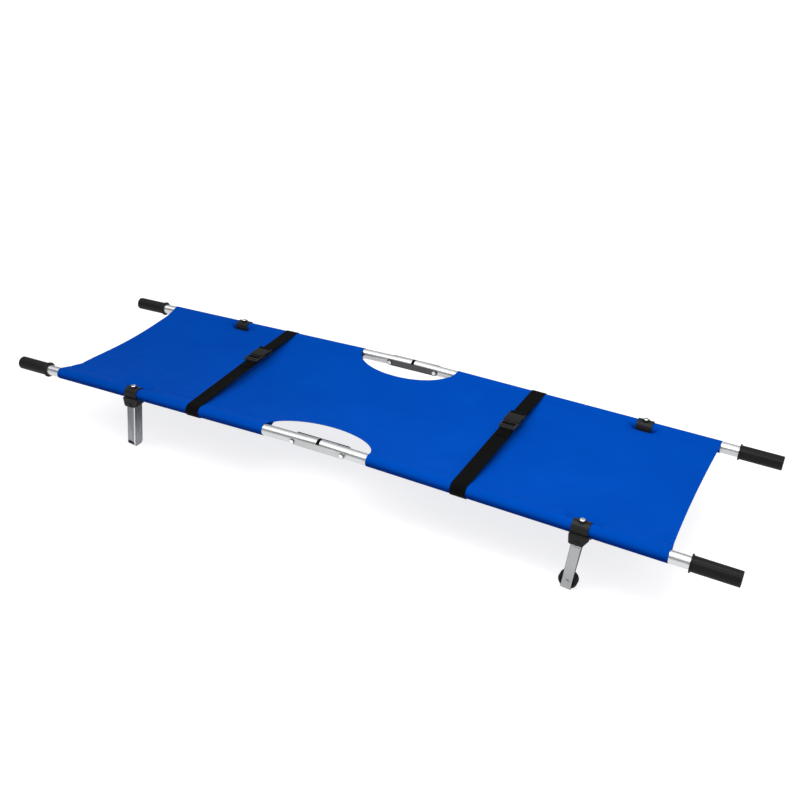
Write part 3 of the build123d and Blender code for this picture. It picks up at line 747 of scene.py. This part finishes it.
rivet_reach = 0.012  # faces this close to a leg's pivot are its rivet's
axle_cap, link_rivet_cap, clamp_rivet_cap = 0.9, 0.78, 0.6  # a cap faces along its axis at least this much; faces turned further away get painted shade, a dark ring round the cap
for side_name, side in SIDES.items():
    # the hinge links' inner sides, towards the bed, get painted shade
    finish_faces(f"{side_name}_hinge_link", dull_steel, lambda face: face.center.y * side < half_span)
    frame["nodes"][f"{side_name}_wheel_axle"].data.materials[0] = pale_zinc
    finish_faces(f"{side_name}_wheel_axle", dark_zinc,
                 lambda face: abs(face.normal.y) < axle_cap)
    finish_faces(f"{side_name}_hinge_rivets", dark_zinc,
                 lambda face: abs(face.normal.y) < link_rivet_cap)
    for end_name in ENDS:
        half = f"{side_name}_{end_name}"
        pivot = Vector(joints[f"{half}_leg_fold"]["pos_m"])

        def near_leg_pivot(face):
            return math.hypot(face.center.x - pivot.x, face.center.z - pivot.z) < rivet_reach

        finish_faces(f"{half}_rivets", clamp_black, near_leg_pivot)
        finish_faces(f"{half}_rivets", dark_zinc,
                     lambda face: abs(face.normal.z) < clamp_rivet_cap and not near_leg_pivot(face))
        # painted shade: the flanges, turned from the light, and the channel's inner faces get darker zinc
        flange = shaded_zinc if end_name == "head" else dark_zinc
        finish_faces(f"{half}_leg", flange, lambda face: abs(face.normal.x) > 0.5)
        finish_faces(f"{half}_leg", dark_zinc, lambda face: face.normal.y * side < -0.5)
        # painted highlight along the bend between the head leg's web and flange
        if end_name == "head":
            finish_faces(f"{half}_leg", bright_bend,
                         lambda face: 0.2 < face.normal.x < 0.93 and face.normal.y * side > 0.3)


def dress(piece, body, finish, replaced=()):
    """Gives a piece its finish, the body it rides on and the nodes it stands for."""
    piece.data.materials.append(finish)
    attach(piece, body)
    if replaced:
        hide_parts(*replaced)
    return piece


for name, start, stop in (("head", -bed_end, -rivet_x), ("mid", -rivet_x, rivet_x),
                          ("foot", rivet_x, bed_end)):
    body = BODIES[name]
    bed, bed_rows = make_bed(name, start, stop)
    dress(bed, body, canvas, [f"{name}_canvas"])
    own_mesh(bed)
    hem = stitches(f"{name}_hem_stitching", hem_line(start, stop))
    dress(hem, body, blue_thread)
    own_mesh(hem)

plain_section = sleeve_section(sleeve_middle.x)
for side_name, side in SIDES.items():
    for end_name in ENDS:
        half = f"{side_name}_{end_name}"
        sleeve = make_sleeve(side_name, end_name)
        dress(sleeve, half, canvas, [f"{half}_canvas_sleeve"])
        seam = stitches(f"{half}_seam_stitching", seam_lines(side, end_name))
        dress(seam, half, blue_thread)


# --- straps ---------------------------------------------------------------------------------------
strap_width = 0.040
strap_thick = 0.0014
strap_height = 0.01755  # the webbing's middle surface over the pole's axis, on top of the pole
strap_radius = 0.0174
wrap_step = 0.0012  # from the sleeve's lower layer down to the wrap's end
strap_under = 0.0188  # its middle surface over the pole's axis where it passes under a buckle
sewn_inset = 0.005  # from the webbing's edge to its stitches
selvedge_thin = 0.32  # the share of its thickness that the webbing loses at its edges
strap_shares = (-0.5, -0.485, -0.45, -0.3, -0.1, 0.1, 0.3, 0.45, 0.485, 0.5)  # across the webbing
strap_place = {(side, end): middle(f"{side}_{end}_strap_wrap").x for side in SIDES for end in ENDS}


def strap_x(end_name, y):
    right, left = strap_place["right", end_name], strap_place["left", end_name]
    return right + (left - right) * (y + half_span) / (2 * half_span)


def webbing_rows(path, middle_x, width):
    """Rows across the webbing, and their flat places, along (y, height) points; middle_x(y) is its line."""
    rows, uvs, travel = [], [], 0.0
    for i, (y, height) in enumerate(path):
        if i:
            travel += math.dist(path[i - 1], path[i])
        row = []
        for share in strap_shares:
            x = middle_x(y) + share * width
            row.append(Vector((x, y, axis_height(x) + height)))
        rows.append(row)
        uvs.append([(share * width, travel) for share in strap_shares])
    return rows, uvs


def strap_band(name, path, end_name, width=strap_width):
    """A strap along (y, height) points; it keeps to the strap's line over the bed."""
    rows, uvs = webbing_rows(path, lambda y: strap_x(end_name, y), width)

    def selvedge(i, j):
        return -strap_thick * selvedge_thin if j in (0, len(strap_shares) - 1) else 0.0

    return shell(name, turned(rows), turned(uvs), strap_thick, selvedge)


def rounded(corners, radius, count=5):
    """A path through (y, height) corners with each corner turned into an arc."""
    path = [corners[0]]
    for before, corner, after in zip(corners, corners[1:], corners[2:]):
        a, b, c = Vector(before), Vector(corner), Vector(after)
        to_a, to_c = (a - b), (c - b)
        reach = min(radius, to_a.length * 0.45, to_c.length * 0.45)
        start, stop = b + to_a.normalized() * reach, b + to_c.normalized() * reach
        for i in range(count + 1):
            t = i / count
            point = start.lerp(b, t).lerp(b.lerp(stop, t), t)
            path.append(tuple(point))
    path.append(corners[-1])
    return path


def subdivided(path, size):
    found = []
    for a, b in zip(path, path[1:]):
        count = max(1, math.ceil(math.dist(a, b) / size))
        found += [(a[0] + (b[0] - a[0]) * i / count, a[1] + (b[1] - a[1]) * i / count)
                  for i in range(count)]
    return found + [path[-1]]


def make_strap(end_name):
    """The run over the bed, from the top of one pole to the top of the other."""
    socket_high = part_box(f"{end_name}_buckle_socket")[1]
    tongue_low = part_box(f"{end_name}_buckle_tongue")[0]
    corners = [(-half_span, strap_height), (tongue_low.y - 0.06, strap_under),
               (socket_high.y + 0.05, strap_under), (half_span, strap_height)]
    return strap_band(f"{end_name}_strap", subdivided(rounded(corners, 0.03, 8), 0.006), end_name)


def make_wrap(side_name, end_name):
    """The strap's end: over the pole, round its outside and into the seam under the bed."""
    side = SIDES[side_name]
    centre = strap_place[side_name, end_name]
    low_seam = cloth_height(centre, seam_inset) - layer_step - wrap_step
    low_turn = leave_circle(strap_radius, seam_inset, low_seam, -1)
    touch = round_pole(strap_radius, low_turn)
    section = [(0.0, strap_height)]
    for i in range(1, 41):
        turn = 90 + (360 + low_turn - 90) * i / 40
        radius = strap_radius + (strap_height - strap_radius) * max(0.0, 1 - i / 8)
        section.append(round_pole(radius, turn))
    for i in range(1, 5):
        share = i / 4
        section.append((touch[0] + (seam_inset - touch[0]) * share,
                        touch[1] + (low_seam - touch[1]) * share))
    path = [(side * (half_span - inset), height) for inset, height in section]
    rows, uvs = webbing_rows(path, lambda y: centre, strap_width)
    if side < 0:
        rows, uvs = turned(rows), turned(uvs)
    return shell(f"{side_name}_{end_name}_wrap", rows, uvs, strap_thick)


def strap_stitches(name, end_name, y_low, y_high, height):
    """A sewn rectangle with a cross line at each end."""
    lines = []
    inner = strap_width / 2 - sewn_inset
    up = Vector((0, 0, 1))
    for y in (y_low, y_high):
        line = []
        for i in range(21):
            x = strap_x(end_name, y) + inner * (i / 10 - 1)
            line.append((Vector((x, y, axis_height(x) + height)), up))
        lines.append(line)
    for way in (-1, 1):
        line = []
        for i in range(21):
            y = y_low + (y_high - y_low) * i / 20
            x = strap_x(end_name, y) + way * inner
            line.append((Vector((x, y, axis_height(x) + height)), up))
        lines.append(line)
    return stitches(name, lines, pitch=0.0034, length=0.0024, thread=0.0003)


buckle_base = 0.0198  # height of the buckle's underside over the pole's axis
socket_tall = 0.010
tongue_top = 0.0072  # over the buckle's underside
clearance = 0.0002
on_strap = strap_under + strap_thick + clearance
bar_top = buckle_base + socket_tall + strap_thick / 2 + clearance
plate_top = buckle_base + tongue_top + strap_thick / 2 + clearance
loop_inner = 0.0215  # height of the webbing's end inside the socket's slot
tail_inner = 0.0212  # and inside the tongue's ladder
tail_out = 0.0265  # the ladder's two slots, in from the outer rail
tail_in = 0.0165
for end_name in ENDS:
    body = f"right_{end_name}"
    strap = make_strap(end_name)
    dress(strap, body, webbing, [f"{end_name}_strap_webbing"])
    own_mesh(strap)
    for side_name in SIDES:
        half = f"{side_name}_{end_name}"
        wrap = make_wrap(side_name, end_name)
        dress(wrap, half, webbing, [f"{half}_strap_wrap"])

    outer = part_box(f"{end_name}_buckle_socket")[1].y  # the socket's outer end
    slot_y = outer - 0.007
    loop_path = rounded([(slot_y, loop_inner), (slot_y, bar_top), (outer + 0.001, bar_top),
                         (outer + 0.012, on_strap), (outer + 0.044, on_strap)], 0.004)
    loop = strap_band(f"{end_name}_buckle_loop", subdivided(loop_path, 0.003), end_name, 0.0375)
    dress(loop, f"{end_name}_buckle", webbing)
    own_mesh(loop)
    sewn = strap_stitches(f"{end_name}_loop_stitching", end_name, outer + 0.018, outer + 0.040,
                          on_strap + strap_thick / 2)
    dress(sewn, f"{end_name}_buckle", black_thread)
    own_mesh(sewn)

    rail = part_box(f"{end_name}_buckle_tongue")[0].y  # the ladder's outer rail
    tail_path = rounded([(rail + tail_out, tail_inner), (rail + tail_out, plate_top),
                         (rail + tail_in, plate_top), (rail + tail_in, tail_inner + 0.0002),
                         (rail + 0.003, tail_inner), (rail - 0.012, on_strap),
                         (rail - 0.034, on_strap)], 0.0025)
    tail = strap_band(f"{end_name}_strap_tail", subdivided(tail_path, 0.003), end_name, 0.0345)
    dress(tail, f"{end_name}_buckle_tongue", webbing)
    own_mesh(tail)


# --- dark rubber ends of the plain legs, put in as painted shade for the channel's hollow end -----
leg_lean = math.radians(9) - math.atan(pole_fall)  # 9 degrees from square to the sloping pole
leg_depth = 0.032
leg_web = 0.022  # the web's outer face, out from the pole's axis
leg_sheet = 0.002
foot_width = 0.0224
foot_tall = 0.024
foot_round = 0.0152
foot_bevel = 0.0009
foot_dish = 0.002  # how deep its inner end is hollowed
foot_drop = 0.0026  # how far its round end would pass the floor, where it is cut flat
foot_gap = 0.0004  # between the block and the leg's web
floor_gap = 0.0003


def make_leg_foot(side_name):
    """A dark rubber block inside the leg's open end, rounded like the leg's flanges: painted shade for the
    channel's hollow end.
    """
    side = SIDES[side_name]
    pivot = Vector(joints[f"{side_name}_head_leg_fold"]["pos_m"])
    up = Vector((math.sin(leg_lean), 0, math.cos(leg_lean)))
    across = Vector((math.cos(leg_lean), 0, -math.sin(leg_lean)))
    lowest = -pivot.z / math.cos(leg_lean) - foot_drop
    centre_out = leg_web - leg_depth / 2
    front = leg_web - leg_sheet - foot_gap
    outline = []
    for i in range(37):
        turn = math.radians(180 + 180 * i / 36)
        out = min(front, centre_out + foot_round * math.cos(turn))
        outline.append((out, lowest + leg_depth / 2 + foot_round * math.sin(turn)))
    for i in range(9):
        share = i / 8
        out = front + (centre_out - foot_round - front) * share
        outline.append((out, lowest + foot_tall - foot_dish * math.sin(math.pi * share)))
    centre = (centre_out, lowest + foot_tall * 0.6)
    points, faces = [], []
    half = foot_width / 2
    for place, inward in ((-half, foot_bevel), (foot_bevel - half, 0), (half - foot_bevel, 0),
                          (half, foot_bevel)):
        for out, height in outline:
            pull = 1 - inward / foot_round
            y = centre[0] + (out - centre[0]) * pull
            z = centre[1] + (height - centre[1]) * pull
            point = Vector((pivot.x, side * (half_span + y), pivot.z)) + across * place + up * z
            point.z = max(point.z, floor_gap)
            points.append(point)
    count = len(outline)
    for ring in range(3):
        for k in range(count):
            a, b = ring * count + k, ring * count + (k + 1) % count
            faces.append((a, b, b + count, a + count))
    faces.append(tuple(range(count - 1, -1, -1)))
    faces.append(tuple(range(3 * count, 4 * count)))
    if side < 0:
        faces = [face[::-1] for face in faces]
    return finish_mesh(f"{side_name}_head_leg_foot", points, faces, [(0, 0)] * len(points), 50)


for side_name in SIDES:
    dress(make_leg_foot(side_name), f"{side_name}_head_leg", wheel_rubber)


# --- studio ---------------------------------------------------------------------------------------
def make_floor():
    mesh = bpy.data.meshes.new("floor")
    reach = 30.0
    mesh.from_pydata([(-reach, -reach, 0), (reach, -reach, 0), (reach, reach, 0), (-reach, reach, 0)],
                     [], [(0, 1, 2, 3)])
    floor = bpy.data.objects.new("floor", mesh)
    bpy.context.scene.collection.objects.link(floor)
    finish = Finish("pale_floor", (0.30, 0.30, 0.30), 0.9, Specular_IOR_Level=0.0,
                    Emission_Color=grey(1.0), Emission_Strength=0.80)
    floor.data.materials.append(finish.material)


def make_world():
    world = bpy.data.worlds.new("studio")
    bpy.context.scene.world = world
    world.use_nodes = True
    tree = world.node_tree
    tree.nodes.clear()
    output = tree.nodes.new("ShaderNodeOutputWorld")
    background = tree.nodes.new("ShaderNodeBackground")
    coordinates = tree.nodes.new("ShaderNodeTexCoord")
    split = tree.nodes.new("ShaderNodeSeparateXYZ")
    ramp_node = tree.nodes.new("ShaderNodeValToRGB")
    # a pale backdrop at the horizon, a darker room over it and a broad soft box overhead
    elements = ramp_node.color_ramp.elements
    bands = ((0.0, 0.80), (0.14, 0.78), (0.22, 0.20), (0.55, 0.24), (0.69, 0.88), (1.0, 1.0))
    while len(elements) < len(bands):
        elements.new(0.5)
    for element, (position, value) in zip(elements, bands):
        element.position = position
        element.color = grey(value)
    tree.links.new(coordinates.outputs["Generated"], split.inputs[0])
    tree.links.new(split.outputs["Z"], ramp_node.inputs["Fac"])
    tree.links.new(ramp_node.outputs["Color"], background.inputs["Color"])
    tree.links.new(background.outputs["Background"], output.inputs["Surface"])
    background.inputs["Strength"].default_value = 1.32


def make_key(name, towards, spread, power):
    """A broad, distant light that shines along a direction."""
    data = bpy.data.lights.new(name, "SUN")
    data.angle = spread
    data.energy = power
    light = bpy.data.objects.new(name, data)
    light.rotation_mode = "QUATERNION"
    light.rotation_quaternion = Vector(towards).to_track_quat("-Z", "Y")
    bpy.context.scene.collection.objects.link(light)


def make_soft_box(name, place, target, size, power):
    """A rectangular light that hangs over one end and brightens it a little."""
    data = bpy.data.lights.new(name, "AREA")
    data.shape = "RECTANGLE"
    data.size, data.size_y = size
    data.energy = power
    light = bpy.data.objects.new(name, data)
    light.location = place
    light.rotation_mode = "QUATERNION"
    light.rotation_quaternion = (Vector(target) - Vector(place)).to_track_quat("-Z", "Y")
    light.visible_camera = False
    bpy.context.scene.collection.objects.link(light)


def make_camera():
    """The camera stands off the near side towards the foot end, looking down along the bed."""
    yaw, pitch, roll = math.radians(-27.896), math.radians(28.657), math.radians(0.628)
    forward = Vector((math.sin(yaw) * math.cos(pitch), math.cos(yaw) * math.cos(pitch), -math.sin(pitch)))
    level_right = Vector((math.cos(yaw), -math.sin(yaw), 0))
    level_up = level_right.cross(forward)
    right = level_right * math.cos(roll) + level_up * math.sin(roll)
    up = level_up * math.cos(roll) - level_right * math.sin(roll)
    data = bpy.data.cameras.new("camera")
    data.sensor_width = 36.0
    data.lens = 43.57
    camera = bpy.data.objects.new("camera", data)
    turn = Matrix((right, up, -forward)).transposed().to_4x4()
    place = Vector((1.1517, -2.0054, 1.4470))
    camera.matrix_world = Matrix.Translation(place) @ turn
    bpy.context.scene.collection.objects.link(camera)
    bpy.context.scene.camera = camera


make_floor()
make_world()
make_key("key", towards=(0.5, 0.35, -1.0), spread=0.6, power=0.45)
make_key("fill", towards=(-0.9, 0.5, -0.9), spread=0.9, power=0.3)
make_soft_box("foot_light", place=(0.55, -0.4, 1.5), target=(0.4, 0, 0.1), size=(1.0, 0.8), power=14)
make_camera()
bpy.context.scene.view_settings.view_transform = "Standard"
